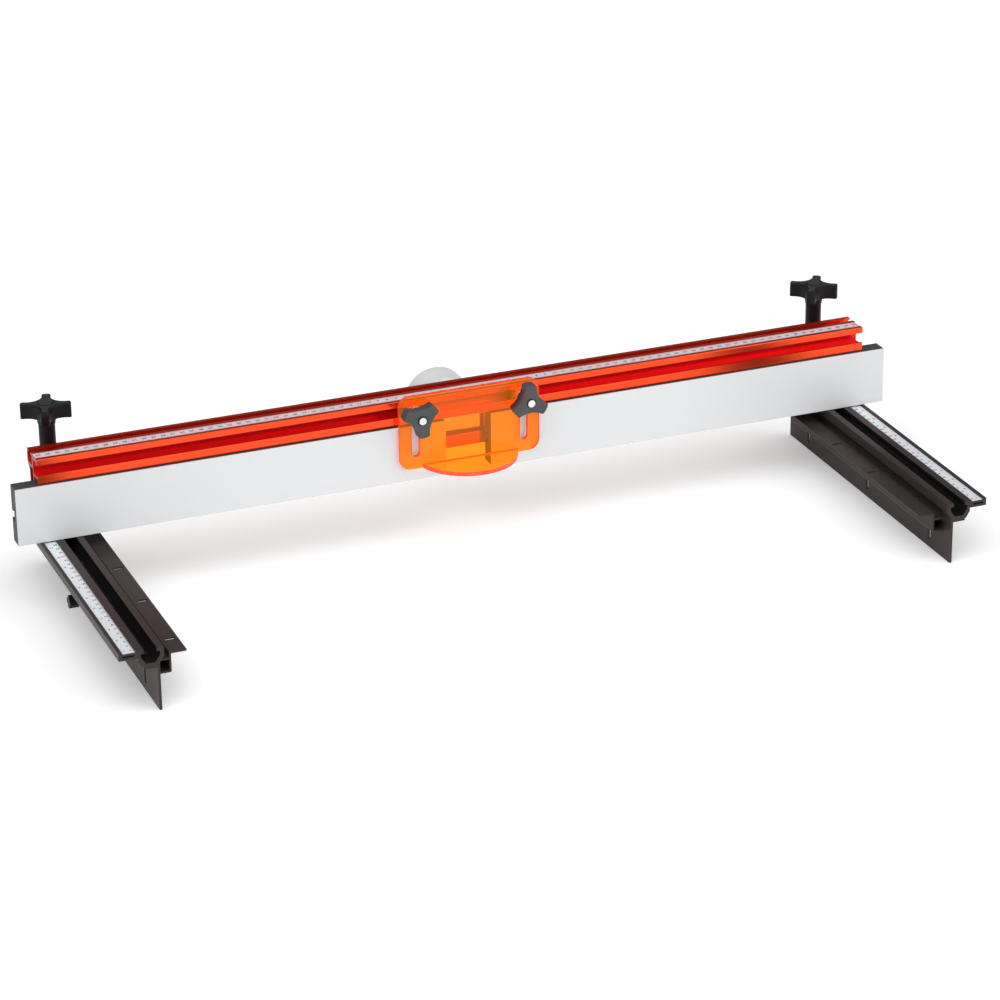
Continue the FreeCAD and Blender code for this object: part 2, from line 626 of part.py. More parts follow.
def foot(side, sign):
    """Cast foot behind the beam: base on the rail, wall on the web, two ribs."""
    centre = s.slot_centre * sign
    left, right = centre - s.foot_half, centre + s.foot_half
    wall_back = s.web_back + s.foot_wall
    base = block((left, right), (s.web_back, s.foot_back), (ZERO, s.foot_base))
    wall = block((left, right), (s.web_back, wall_back), (ZERO, s.foot_top))
    pieces = [base, wall]
    outline = [(s.web_back, ZERO), (s.foot_rib_back, ZERO), (s.foot_rib_back, s.foot_base),
               (wall_back, s.foot_top), (s.web_back, s.foot_top)]
    for start in (left, right - s.foot_rib):
        pieces.append(place(extrusion("YZ_Plane", [outline], s.foot_rib), x=start))
    holes = [rod(s.post_bore_r, ZERO, s.foot_base, x=centre, y=s.post_y)]
    for spread in (-s.foot_bolt_spread, s.foot_bolt_spread):
        holes.append(rod(s.foot_bolt_hole_r, s.web_back, wall_back, x=centre + spread,
                         z=s.foot_bolt_z, along="Y"))
    keep(cut(joined(pieces), joined(holes)), f"{side}_foot")


def foot_fasteners(side, sign):
    """Socket-head bolts through the foot into rivet nuts set in the web."""
    bolts, rivets = [], []
    back = s.web_back + s.foot_wall
    for spread in (-s.foot_bolt_spread, s.foot_bolt_spread):
        where = {"x": s.slot_centre * sign + spread, "z": s.foot_bolt_z, "along": "Y"}
        head = ring(s.foot_bolt_head_r, s.foot_bolt_r * 0.5, back, back + s.foot_bolt_head, **where)
        shank = rod(s.foot_bolt_r, s.foot_bolt_tip, back + s.foot_bolt_head * 0.4, **where)
        bolts.append(joined([head, shank]))
        rivets.append(ring(s.rivet_r, s.foot_bolt_r, s.rivet_front, s.web_back, **where))
    keep(group(bolts), f"{side}_foot_bolts")
    keep(group(rivets), f"{side}_rivet_nuts")


def fence_clamp(side, sign):
    """Post, washer, T-nut, stud and star knob that lock the fence to its rail."""
    where = {"x": s.slot_centre * sign, "y": s.post_y}
    keep(ring(s.post_r, s.post_bore_r, s.foot_base, s.post_top, **where), f"{side}_post")
    washer = ring(s.post_r, s.clamp_washer_hole_r, s.post_top, s.clamp_washer_top, **where)
    keep(washer, f"{side}_clamp_washer")
    x, y = where["x"], where["y"]
    length = (y - s.nut_half_length, y + s.nut_half_length)
    head = block((x - s.nut_head_half, x + s.nut_head_half), length,
                 (s.nut_head_low, s.nut_head_high))
    neck = block((x - s.nut_neck_half, x + s.nut_neck_half), length, (s.nut_head_high, s.nut_top))
    hole = rod(s.stud_r + s.running_gap, s.nut_head_low, s.nut_top, **where)
    keep(cut(joined([head, neck]), hole), f"{side}_t_nut")
    keep(rod(s.stud_r, s.stud_low, s.stud_high, **where), f"{side}_clamp_stud")
    seat = Vector(x.value, y.value, s.clamp_washer_top.value)
    turn = Rotation(Vector(0, 0, 1), CLAMP_KNOB_TURN[side])
    lobed_knob(f"{side}_clamp_knob", 4, "clamp", (s.stud_r + s.running_gap).value,
               (s.stud_high - s.clamp_washer_top).value, Placement(seat, turn), capped=True)


# ---- guard ----

def guard():
    """Clear plate with two height slots, and the half-round shelf bonded in front of it."""
    body = doc.addObject("PartDesign::Body", "Body")
    keep(body, "guard_plate")
    outline = sketch_on(body, "XZ_Plane")
    half = s.guard_half
    corners = [(-half, s.guard_bottom), (half, s.guard_bottom), (half, s.guard_top),
               (-half, s.guard_top)]
    add_loop(outline, corners)
    add_pad(body, outline, s.guard_back - s.guard_front, backwards=True)
    round_corners(body, s.guard_round, corners, across="Y")
    slots = sketch_on(body, "XZ_Plane")
    radius = s.guard_slot_width * 0.5
    for sign in SIDES.values():
        x = s.guard_bolt_x * sign
        add_slot(slots, (x, s.guard_slot_low + radius), (x, s.guard_slot_high - radius), radius)
    cut_through(body, slots)
    place(body, y=s.guard_front)
    disc = rod(s.shelf_r, s.guard_bottom, s.guard_bottom + s.shelf_thickness,
               y=s.shelf_reach + s.shelf_r)
    keep_front = block((-s.shelf_r, s.shelf_r), (s.shelf_reach, s.guard_front),
                       (s.guard_bottom, s.guard_bottom + s.shelf_thickness))
    shelf = doc.addObject("Part::Common", "Shelf")
    shelf.Base = disc
    shelf.Tool = keep_front
    keep(shelf, "guard_shelf")


def guard_clamps():
    """T-bolts in the beam's front slot, with spacers, washers and three-lobed knobs."""
    bolts, spacers, washers = [], [], []
    half = s.guard_bolt_head_half
    for side, sign in SIDES.items():
        x = s.guard_bolt_x * sign
        where = {"x": x, "z": s.guard_bolt_z, "along": "Y"}
        head = block((x - half, x + half), (s.guard_bolt_head_front, s.guard_bolt_head_back),
                     (s.guard_bolt_z - half, s.guard_bolt_z + half))
        shank = rod(s.guard_bolt_r, s.guard_bolt_end, s.guard_bolt_head_front, **where)
        bolts.append(joined([head, shank]))
        spacers.append(ring(s.guard_washer_r, s.guard_washer_hole_r, s.guard_back + s.running_gap,
                            s.beam_front - s.running_gap, **where))
        seat = s.guard_front - s.guard_washer_thickness
        washers.append(ring(s.guard_washer_r, s.guard_washer_hole_r, seat,
                            s.guard_front - s.running_gap, **where))
        turn = Rotation(Vector(0, 0, 1), Vector(0, -1, 0))
        spin = Rotation(Vector(0, -1, 0), GUARD_KNOB_TURN[side])
        spot = Vector(x.value, seat.value, s.guard_bolt_z.value)
        depth = s.guard_knob_neck + s.guard_knob_head
        lobed_knob(f"{side}_guard_knob", 3, "guard", s.insert_r.value, depth.value,
                   Placement(spot, spin * turn))
        front = seat - depth + s.insert_sunk
        keep(ring(s.insert_r, s.guard_bolt_r + s.running_gap, front, seat, **where),
             f"{side}_knob_insert")
    keep(group(bolts), "guard_bolts")
    keep(group(spacers), "guard_spacers")
    keep(group(washers), "guard_washers")


# ---- dust hood ----

def rounded_mouth(half, low, high, radius, y):
    """A rounded rectangle standing in a plane of constant Y, as eight edges."""
    middle = (low + high) / 2
    edges = []
    corners = [(half, high, 0), (-half, high, 90), (-half, low, 180), (half, low, 270)]
    arcs = []
    for x, z, turn in corners:
        centre = Vector(x - math.copysign(radius, x), 0, z - math.copysign(radius, z - middle))
        points = []
        for angle in (turn, turn + 45, turn + 90):
            bend = polar(radius, angle)
            points.append(Vector(centre.x + bend.x, y, centre.z + bend.y))
        arcs.append(points)
    for index, points in enumerate(arcs):
        following = arcs[(index + 1) % 4]
        edges.append(Part.Arc(*points).toShape())
        edges.append(Part.makeLine(points[2], following[0]))
    return Part.Wire(edges)


def round_mouth(radius, z, y, split):
    """A circle in a plane of constant Y, split where a mouth's arcs meet its sides."""
    edges = []
    for quarter in range(4):
        start = quarter * 90
        stops = [start + split, start + 45, start + 90 - split, start + 90, start + 90 + split]
        points = [Vector(polar(radius, a).x, y, z + polar(radius, a).y) for a in stops]
        edges.append(Part.Arc(*points[:3]).toShape())
        edges.append(Part.Arc(*points[2:]).toShape())
    return Part.Wire(edges)


def funnel(shrink, y_front, y_back):
    """Solid from the rounded mouth to the round spigot, smaller all round by shrink."""
    half, low, high, radius = (sheet.get(name) for name in
                               ("mouth_half", "mouth_low", "mouth_high", "mouth_round"))
    wall = sheet.get("spigot_wall") - shrink
    mouth = rounded_mouth(half + wall, low - wall, high + wall, radius + wall, y_front)
    spigot = round_mouth(sheet.get("spigot_r") - shrink, sheet.get("spigot_z"), y_back,
                         sheet.get("mouth_corner_spread"))
    return Part.makeLoft([mouth, spigot], True, True)


def dust_hood():
    """Moulded hood: flange on the web, funnel and a round hose spigot."""
    plate_back = sheet.get("web_back") + sheet.get("hood_plate")
    start, end = sheet.get("spigot_front"), sheet.get("spigot_back")
    centre = Vector(0, start, sheet.get("spigot_z"))
    out = Vector(0, 1, 0)
    radius, wall = sheet.get("spigot_r"), sheet.get("spigot_wall")
    half, low, high = (sheet.get(name) for name in ("hood_half", "hood_low", "hood_high"))
    plate = Part.makeBox(2 * half, sheet.get("hood_plate"), high - low,
                         Vector(-half, sheet.get("web_back"), low))
    shell = plate.fuse(funnel(0.0, plate_back, start))
    shell = shell.fuse(Part.makeCylinder(radius, end - start, centre, out))
    duct = funnel(wall, plate_back, start)
    duct = duct.fuse(Part.makeCylinder(radius - wall, end - start, centre, out))
    mouth = rounded_mouth(sheet.get("mouth_half"), sheet.get("mouth_low"), sheet.get("mouth_high"),
                          sheet.get("mouth_round"), sheet.get("web_back"))
    duct = duct.fuse(Part.Face(mouth).extrude(Vector(0, sheet.get("hood_plate"), 0)))
    shell = shell.cut(duct)
    inset, spread = sheet.get("hood_screw_inset"), sheet.get("hood_screw_x")
    for x in (-spread, spread):
        for z in (low + inset, high - inset):
            spot = Vector(x, sheet.get("web_back"), z)
            hole = Part.makeCylinder(sheet.get("hood_screw_r"), end - start, spot, out)
            shell = shell.cut(hole)
    feature = doc.addObject("Part::Feature", "Hood")
    feature.Shape = shell.removeSplitter().Solids[0]
    keep(feature, "dust_hood")


def hood_screws():
    """Pan-head screws at the hood flange's corners."""
    screws = []
    back = s.web_back + s.hood_plate
    for sign in SIDES.values():
        for z in (s.hood_low + s.hood_screw_inset, s.hood_high - s.hood_screw_inset):
            where = {"x": s.hood_screw_x * sign, "z": z, "along": "Y"}
            shank = rod(s.hood_screw_r, back - s.hood_screw_length, back, **where)
            head = rod(s.hood_screw_head_r, back, back + s.hood_screw_head, **where)
            screws.append(joined([shank, head]))
    keep(group(screws), "hood_screws")


for side, sign in SIDES.items():
    table_bracket(side, sign)
    rail_clamp(side, sign)
    rail_track(side, sign)
    rail_plate(side, sign)
    rail_screws(side, sign)
    rail_scale(side, sign)
    foot(side, sign)
    foot_fasteners(side, sign)
    fence_clamp(side, sign)
    face_panel(side, sign)
fence_beam()
beam_scale()
face_clamps()
guard()
guard_clamps()
dust_hood()
hood_screws()
doc.recompute()

for item in doc.Objects:
    if {"Invalid", "Error"} & set(item.State):
        raise RuntimeError(f"{item.Label} failed: {item.State}")
for item in nodes:
    if item.Shape.isNull() or not item.Shape.isValid():
        raise RuntimeError(f"{item.Label} has no valid shape")

os.makedirs("parts", exist_ok=True)
for item in nodes:
    item.Shape.exportStep(f"parts/{item.Label}.step")
    print(item.Label, len(item.Shape.Solids), round(item.Shape.Volume, 1))
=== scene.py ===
import json
import math

import bmesh
import bpy
from mathutils import Matrix, Vector


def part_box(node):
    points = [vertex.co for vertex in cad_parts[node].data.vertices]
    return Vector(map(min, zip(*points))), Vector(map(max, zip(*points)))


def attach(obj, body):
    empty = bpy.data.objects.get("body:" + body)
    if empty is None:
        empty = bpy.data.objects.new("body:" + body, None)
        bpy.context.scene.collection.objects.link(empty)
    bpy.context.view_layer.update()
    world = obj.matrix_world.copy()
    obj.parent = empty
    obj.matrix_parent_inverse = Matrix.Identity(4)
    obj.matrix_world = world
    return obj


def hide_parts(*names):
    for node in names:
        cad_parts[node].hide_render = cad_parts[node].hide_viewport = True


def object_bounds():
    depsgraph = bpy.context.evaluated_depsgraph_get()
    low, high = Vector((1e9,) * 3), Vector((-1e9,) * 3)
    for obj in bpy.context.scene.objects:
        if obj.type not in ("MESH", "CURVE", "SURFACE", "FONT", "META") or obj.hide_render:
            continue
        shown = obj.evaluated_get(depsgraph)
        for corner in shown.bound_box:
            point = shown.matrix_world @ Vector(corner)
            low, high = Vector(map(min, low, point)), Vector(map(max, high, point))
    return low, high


# Looks for the router fence set: every CAD node is made again with a worked material, many of
# them with eased edges, and the printed scales get ink. Units are metres unless a name says mm.

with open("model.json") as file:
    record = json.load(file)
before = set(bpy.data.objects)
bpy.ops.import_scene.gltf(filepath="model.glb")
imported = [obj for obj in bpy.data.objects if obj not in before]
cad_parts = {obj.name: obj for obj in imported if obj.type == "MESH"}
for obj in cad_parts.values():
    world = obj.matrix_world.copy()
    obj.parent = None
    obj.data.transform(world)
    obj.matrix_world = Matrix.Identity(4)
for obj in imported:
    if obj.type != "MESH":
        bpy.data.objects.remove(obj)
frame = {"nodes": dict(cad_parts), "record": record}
CAD_BOX = [list(corner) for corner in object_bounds()]
MM = 0.001
SIDES = {"left": -1, "right": 1}
NODE_BODY = {node: body for body, names in frame["record"]["behaviour"]["bodies"].items()
             for node in names}


# ---- materials ----

class Surface:
    """A procedural material: one Principled shader with worked colour, roughness and relief."""

    def __init__(self, name, color, roughness, metallic=0.0, specular=0.5):
        self.material = bpy.data.materials.new(name)
        self.material.use_nodes = True
        self.tree = self.material.node_tree
        self.shader = self.tree.nodes["Principled BSDF"]
        self.shader.inputs["Base Color"].default_value = (*color, 1.0)
        self.shader.inputs["Roughness"].default_value = roughness
        self.shader.inputs["Metallic"].default_value = metallic
        self.shader.inputs["Specular IOR Level"].default_value = specular
        self.color = color
        self.roughness = roughness
        self.relief = None

    def link(self, source, target):
        self.tree.links.new(source, target)

    def pattern(self, scale, detail=3.0, stretch=(1.0, 1.0, 1.0)):
        """A noise in the piece's own coordinates, in cycles per metre, stretched along an axis."""
        place = self.tree.nodes.new("ShaderNodeTexCoord")
        mapping = self.tree.nodes.new("ShaderNodeMapping")
        mapping.inputs["Scale"].default_value = stretch
        noise = self.tree.nodes.new("ShaderNodeTexNoise")
        noise.inputs["Scale"].default_value = scale
        noise.inputs["Detail"].default_value = detail
        self.link(place.outputs["Object"], mapping.inputs["Vector"])
        self.link(mapping.outputs["Vector"], noise.inputs["Vector"])
        return noise.outputs[0]

    def vary_color(self, pattern, dark, light=None, low=0.3, high=0.7):
        """The base colour runs from dark to light with the pattern."""
        ramp = self.tree.nodes.new("ShaderNodeValToRGB")
        ramp.color_ramp.elements[0].position = low
        ramp.color_ramp.elements[0].color = (*dark, 1.0)
        ramp.color_ramp.elements[1].position = high
        ramp.color_ramp.elements[1].color = (*(light or self.color), 1.0)
        self.link(pattern, ramp.inputs["Fac"])
        self.link(ramp.outputs["Color"], self.shader.inputs["Base Color"])
        return self

    def vary_roughness(self, pattern, spread):
        """Roughness swings about its own value with the pattern."""
        span = self.tree.nodes.new("ShaderNodeMapRange")
        span.inputs["To Min"].default_value = self.roughness - spread
        span.inputs["To Max"].default_value = self.roughness + spread
        self.link(pattern, span.inputs["Value"])
        self.link(span.outputs["Result"], self.shader.inputs["Roughness"])
        return self

    def emboss(self, pattern, depth_mm, strength):
        """Fine relief from the pattern."""
        bump = self.tree.nodes.new("ShaderNodeBump")
        bump.inputs["Strength"].default_value = strength
        bump.inputs["Distance"].default_value = depth_mm * MM
        self.link(pattern, bump.inputs["Height"])
        if self.relief is not None:
            self.link(self.relief, bump.inputs["Normal"])
        self.relief = bump.outputs["Normal"]
        self.link(self.relief, self.shader.inputs["Normal"])
        return self


def anodised(name, color, dark, along, roughness, metallic, specular=0.5):
    """Anodised extrusion: faint die lines along one axis and an even, silky film."""
    stretch = [1.0 if axis == along else 120.0 for axis in "XYZ"]
    surface = Surface(name, color, roughness, metallic, specular)
    lines = surface.pattern(24.0, 3.0, stretch)
    grain = surface.pattern(5200.0, 2.0)
    surface.vary_color(lines, dark, color, 0.25, 0.75)
    surface.vary_roughness(lines, 0.02)
    surface.emboss(lines, 0.02, 0.06)
    return surface.emboss(grain, 0.01, 0.10).material


def sawn_metal():
    """Cut ends of the beam, anodised thinly over fine saw lines."""
    surface = Surface("sawn_red_anodised", (0.32, 0.09, 0.10), 0.42, 0.7)
    lines = surface.pattern(30.0, 3.0, (1.0, 1.0, 60.0))
    surface.vary_color(lines, (0.26, 0.06, 0.07), (0.36, 0.11, 0.12))
    return surface.emboss(lines, 0.04, 0.3).material


def moulded(name, color, roughness):
    """Moulded plastic with a fine spark-eroded grain and handled high spots."""
    surface = Surface(name, color, roughness, 0.0, 0.16)
    grain = surface.pattern(2600.0, 2.0)
    clouds = surface.pattern(60.0, 3.0)
    surface.vary_color(clouds, tuple(c * 0.82 for c in color), tuple(c * 1.12 for c in color))
    surface.vary_roughness(clouds, 0.06)
    return surface.emboss(grain, 0.03, 0.35).material


def powder_coat():
    """Thick black coat with a slight orange peel."""
    surface = Surface("powder_coat_black", (0.006, 0.006, 0.007), 0.34, 0.0, 0.12)
    peel = surface.pattern(900.0, 2.0)
    clouds = surface.pattern(45.0, 2.0)
    surface.vary_color(clouds, (0.005, 0.005, 0.006), (0.009, 0.009, 0.010))
    surface.vary_roughness(clouds, 0.05)
    return surface.emboss(peel, 0.06, 0.4).material


def plated_steel():
    """Bright zinc plate, a little uneven."""
    surface = Surface("zinc_plated_steel", (0.78, 0.79, 0.81), 0.24, 1.0)
    clouds = surface.pattern(260.0, 3.0)
    surface.vary_color(clouds, (0.62, 0.64, 0.67), (0.86, 0.86, 0.86))
    return surface.vary_roughness(clouds, 0.08).material


def blackened_steel():
    """Oiled black screws and inserts."""
    surface = Surface("blackened_steel", (0.035, 0.035, 0.038), 0.36, 0.6)
    clouds = surface.pattern(300.0, 3.0)
    surface.vary_color(clouds, (0.022, 0.022, 0.025), (0.05, 0.05, 0.054))
    return surface.vary_roughness(clouds, 0.08).material


def laminate():
    """White melamine skin: almost even, with a very fine orange peel."""
    surface = Surface("white_laminate", (0.65, 0.66, 0.67), 0.26, 0.0, 0.5)
    clouds = surface.pattern(9.0, 2.0)
    peel = surface.pattern(1500.0, 2.0)
    surface.vary_color(clouds, (0.645, 0.655, 0.665), (0.660, 0.669, 0.678), 0.0, 1.0)
    surface.vary_roughness(peel, 0.02)
    return surface.emboss(peel, 0.02, 0.12).material


def board_core():
    """Dense dark board with sawn edges: flecks of fibre in a resin ground."""
    surface = Surface("dark_board", (0.055, 0.055, 0.051), 0.62, 0.0, 0.35)
    flecks = surface.pattern(1400.0, 5.0, (0.3, 1.0, 1.0))
    clouds = surface.pattern(70.0, 4.0)
    surface.vary_color(flecks, (0.030, 0.030, 0.028), (0.085, 0.084, 0.076), 0.38, 0.66)
    surface.vary_roughness(clouds, 0.10)
    return surface.emboss(flecks, 0.08, 0.5).material


def print_film(name, color, dark):
    """Printed scale film or its ink."""
    surface = Surface(name, color, 0.36, 0.0, 0.5)
    clouds = surface.pattern(220.0, 3.0)
    surface.vary_color(clouds, dark, color)
    return surface.vary_roughness(clouds, 0.05).material


def acrylic(name, tint, shadow, glow, roughness):
    """Clear tinted acrylic that lets the studio light through to what is behind it, with a faint
    painted orange glow on its faces.
    """
    surface = Surface(name, tint, roughness)
    surface.shader.inputs["Transmission Weight"].default_value = 1.0
    surface.shader.inputs["IOR"].default_value = 1.24
    # Painted glow: the faces give off a faint orange light of their own.
    surface.shader.inputs["Emission Color"].default_value = (*glow, 1.0)
    surface.shader.inputs["Emission Strength"].default_value = 0.16
    haze = surface.pattern(120.0, 2.0)
    surface.vary_color(haze, tuple(c * 0.97 for c in tint), tint)
    nodes = surface.tree.nodes
    clear = nodes.new("ShaderNodeBsdfTransparent")
    clear.inputs["Color"].default_value = (*shadow, 1.0)
    path = nodes.new("ShaderNodeLightPath")
    lets_through = nodes.new("ShaderNodeMath")
    lets_through.operation = "MAXIMUM"
    mix = nodes.new("ShaderNodeMixShader")
    surface.link(path.outputs["Is Shadow Ray"], lets_through.inputs[0])
    surface.link(path.outputs["Is Diffuse Ray"], lets_through.inputs[1])
    surface.link(lets_through.outputs["Value"], mix.inputs["Fac"])
    surface.link(surface.shader.outputs["BSDF"], mix.inputs[1])
    surface.link(clear.outputs["BSDF"], mix.inputs[2])
    surface.link(mix.outputs["Shader"], nodes["Material Output"].inputs["Surface"])
    return surface.material


def acrylic_edge():
    """The polished edges: a deeper red than the faces and a painted glow, standing in for the
    light they gather.
    """
    surface = Surface("acrylic_edge", (0.90, 0.075, 0.02), 0.22, 0.0, 0.5)
    haze = surface.pattern(300.0, 3.0)
    surface.vary_color(haze, (0.72, 0.035, 0.01), (0.95, 0.10, 0.03))
    # Painted glow on the edges.
    surface.shader.inputs["Emission Color"].default_value = (1.0, 0.07, 0.015, 1.0)
    surface.shader.inputs["Emission Strength"].default_value = 0.12
    return surface.material


def milky_plastic(name, color, glow):
    """Pale moulding of the dust hood, with a painted white glow standing in for light that soaks
    through it and lifts its inside.
    """
    surface = Surface(name, color, 0.38)
    # Painted glow: the moulding gives off white light of its own.
    surface.shader.inputs["Emission Color"].default_value = (1.0, 1.0, 1.0, 1.0)
    surface.shader.inputs["Emission Strength"].default_value = glow
    clouds = surface.pattern(40.0, 3.0)
    grain = surface.pattern(1800.0, 2.0)
    surface.vary_color(clouds, tuple(c * 0.95 for c in color), tuple(c * 1.04 for c in color))
    surface.vary_roughness(clouds, 0.05)
    return surface.emboss(grain, 0.03, 0.3).material


RED = anodised("red_anodised", (0.93, 0.085, 0.024), (0.90, 0.074, 0.020), "X", 0.21, 0.90)
# Painted shade: a darker red for the walls of the beam's front T-slot.
RED_PAINTED_SHADE = anodised("red_anodised_painted_shade", (0.80, 0.024, 0.022), (0.74, 0.019, 0.018), "X",
                    0.24, 0.8)
BLACK = anodised("black_anodised", (0.050, 0.040, 0.040), (0.044, 0.035, 0.035), "Y",
                 0.32, 0.15, 0.05)
# Painted shade: a near-black for the walls and floor of the rails' T-slots.
BLACK_PAINTED_SHADE = anodised("black_anodised_painted_shade", (0.012, 0.010, 0.010), (0.009, 0.008, 0.008), "Y",
                      0.45, 0.1, 0.08)
SAWN = sawn_metal()
KNOB_BLACK = moulded("black_plastic", (0.007, 0.007, 0.008), 0.46)
# Painted light: a lighter, glossier black for the up-facing top of the clamp knobs' raised cap.
KNOB_PAINTED_LIGHT = moulded("black_plastic_painted_light", (0.030, 0.034, 0.036), 0.30)
KNOB_GREY = moulded("dark_grey_plastic", (0.070, 0.076, 0.078), 0.46)
COATED = powder_coat()
STEEL = plated_steel()
DARK_STEEL = blackened_steel()
WHITE = laminate()
BOARD = board_core()
RAIL_FILM = print_film("rail_scale_film", (0.72, 0.76, 0.79), (0.67, 0.71, 0.74))
BEAM_FILM = print_film("beam_scale_film", (0.74, 0.62, 0.65), (0.68, 0.56, 0.59))
INK = print_film("scale_ink", (0.06, 0.055, 0.07), (0.04, 0.035, 0.05))
RED_INK = print_film("scale_red_ink", (0.70, 0.03, 0.06), (0.55, 0.02, 0.045))
# The third colour is the painted glow of the guard's faces.
ORANGE = acrylic("orange_acrylic", (1.0, 0.26, 0.012), (1.0, 0.95, 0.88), (1.0, 0.38, 0.04),
                 0.02)
# Painted glow and a deeper painted red on the guard's edges.
PAINTED_GLOW_EDGE = acrylic_edge()
# Both hood materials carry a painted glow, stronger on the faces inside the hood.
MILKY = milky_plastic("milky_plastic", (0.60, 0.61, 0.61), 0.10)
MILKY_PAINTED_GLOW = milky_plastic("milky_plastic_painted_glow", (0.62, 0.63, 0.63), 0.32)


def material_of(node):
    """Which material a CAD node wears."""
    endings = (("fence_beam", RED), ("beam_scale", BEAM_FILM), ("_rail_scale", RAIL_FILM),
               ("_face_core", BOARD), ("_face_laminate", WHITE), ("guard_plate", ORANGE),
               ("guard_shelf", ORANGE), ("_guard_knob", KNOB_GREY), ("_knob_insert", DARK_STEEL),
               ("_knob", KNOB_BLACK), ("_clamp_washer", KNOB_BLACK), ("_rail_screws", DARK_STEEL),
               ("_rail_track", BLACK), ("_rail_plate", BLACK), ("_table_bracket", BLACK),
               ("_foot", COATED), ("_post", COATED), ("dust_hood", MILKY))
    for ending, material in endings:
        if node.endswith(ending):
            return material
    return STEEL


# ---- pieces ----

# Cleaning and shading the meshes.
WELD = 0.002 * MM
FLAT_ANGLE = math.radians(0.5)
CRISP_ANGLE = math.radians(50.0)
EASED_ANGLE = math.radians(30.0)
# How far a face's normal points along an axis.
SQUARE = 0.99
LEVEL = 0.9
HALF_TURNED = 0.5
FACING_DOWN = -0.95
FACING_AXIS = -0.3
# Where the faces with a material of their own lie.
BEAM_HALF_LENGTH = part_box("fence_beam")[1].x
FRONT_SLOT_DEEP = (0.005, 0.0195)
FRONT_SLOT_HIGH = (0.068, 0.085)
SPIGOT_HEIGHT = 46.5 * MM
CAP_RADIUS = 7 * MM
SLOT_CENTRE = 429 * MM
SLOT_ROOM = 9.6 * MM
SLOT_DEPTH = 15.5 * MM
RAIL_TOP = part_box("left_rail_track")[1].z
# Width of the eased edges, by the end of the node's name.
EASING_MM = {
    "_rail_plate": 0.25, "_table_bracket": 0.3, "_face_core": 0.25, "_foot": 0.8, "_post": 0.5,
    "_clamp_washer": 0.2, "_t_nut": 0.3, "_rail_bolt": 0.3, "_rail_washer": 0.15,
    "face_washers": 0.15, "guard_washers": 0.15, "guard_spacers": 0.2, "guard_bolts": 0.5,
}


def finish_piece(node, mesh, materials):
    """Link a mesh as the piece that stands for a CAD node and rides on its body."""
    body = NODE_BODY[node]
    piece = bpy.data.objects.new(node + "_piece", mesh)
    bpy.context.scene.collection.objects.link(piece)
    for material in materials:
        piece.data.materials.append(material)
    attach(piece, body)
    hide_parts(node)
    return piece


def clean_mesh(node):
    """The CAD node's surface with its corners welded and its flat faces whole."""
    mesh = bmesh.new()
    mesh.from_mesh(frame["nodes"][node].data)
    bmesh.ops.remove_doubles(mesh, verts=mesh.verts, dist=WELD)
    bmesh.ops.dissolve_limit(mesh, angle_limit=FLAT_ANGLE, verts=mesh.verts,
                             edges=mesh.edges, delimit=set())
    return mesh


def apply_modifiers(piece):
    """Bake the piece's modifiers into its mesh."""
    graph = bpy.context.evaluated_depsgraph_get()
    shaped = bpy.data.meshes.new_from_object(piece.evaluated_get(graph))
    piece.modifiers.clear()
    piece.data = shaped


def eased(node, width_mm, others=()):
    """The CAD node again with its sharp edges eased, so that they catch the light.

    others gives further materials, each with a test for the faces that wear it.
    """
    mesh = clean_mesh(node)
    for number, (_, chosen) in enumerate(others, 1):
        for face in mesh.faces:
            if chosen(face):
                face.material_index = number
    data = bpy.data.meshes.new(node + "_piece")
    mesh.to_mesh(data)
    mesh.free()
    shade(data)
    materials = [material_of(node)] + [material for material, _ in others]
    piece = finish_piece(node, data, materials)
    if width_mm:
        bevel = piece.modifiers.new("bevel", "BEVEL")
        bevel.width = width_mm * MM
        bevel.segments = 2
        bevel.limit_method = "ANGLE"
        bevel.angle_limit = EASED_ANGLE
    smooth = piece.modifiers.new("smooth", "WEIGHTED_NORMAL")
    smooth.keep_sharp = True
    apply_modifiers(piece)


def shade(data):
    """Smooth shading that stays crisp at real corners."""
    for polygon in data.polygons:
        polygon.use_smooth = True
    data.set_sharp_from_angle(angle=CRISP_ANGLE)


def is_beam_end(face):
    """The sawn ends of the beam."""
    off = abs(abs(face.calc_center_median().x) - BEAM_HALF_LENGTH)
    return abs(face.normal.x) > SQUARE and off < MM


def is_slot_inside(face):
    """The walls of the beam's front T-slot, which wear painted shade."""
    middle = face.calc_center_median()
    return (FRONT_SLOT_DEEP[0] < middle.y < FRONT_SLOT_DEEP[1]
            and FRONT_SLOT_HIGH[0] < middle.z < FRONT_SLOT_HIGH[1])


def is_guard_side(face):
    """The guard plate's edges, but not the bottom one behind the shelf."""
    return abs(face.normal.y) < HALF_TURNED and face.normal.z > FACING_DOWN


def is_shelf_rim(face):
    """The shelf's round rim, but not the back that is bonded to the plate."""
    return abs(face.normal.z) < HALF_TURNED and face.normal.y < HALF_TURNED


def is_hood_inside(face):
    """The faces that look at the axis of the hose spigot."""
    middle = face.calc_center_median() - Vector((0.0, 0.0, SPIGOT_HEIGHT))
    return middle.x * face.normal.x + middle.z * face.normal.z < FACING_AXIS * middle.length


def is_track_inside(face):
    """The walls and floor of a rail's T-slot, which see little light and wear painted shade."""
    middle = face.calc_center_median()
    return (abs(abs(middle.x) - SLOT_CENTRE) < SLOT_ROOM and abs(face.normal.y) < HALF_TURNED
            and RAIL_TOP - SLOT_DEPTH < middle.z < RAIL_TOP - MM)


def cap_of(node):
    """A test for the up-facing top faces of a clamp knob's raised cap, which wear painted light.
    """
    low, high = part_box(node)

    def is_cap(face):
        middle = face.calc_center_median()
        off = math.hypot(middle.x - (low.x + high.x) / 2, middle.y - (low.y + high.y) / 2)
        return face.normal.z > LEVEL and off < CAP_RADIUS and middle.z > high.z - MM

    return is_cap


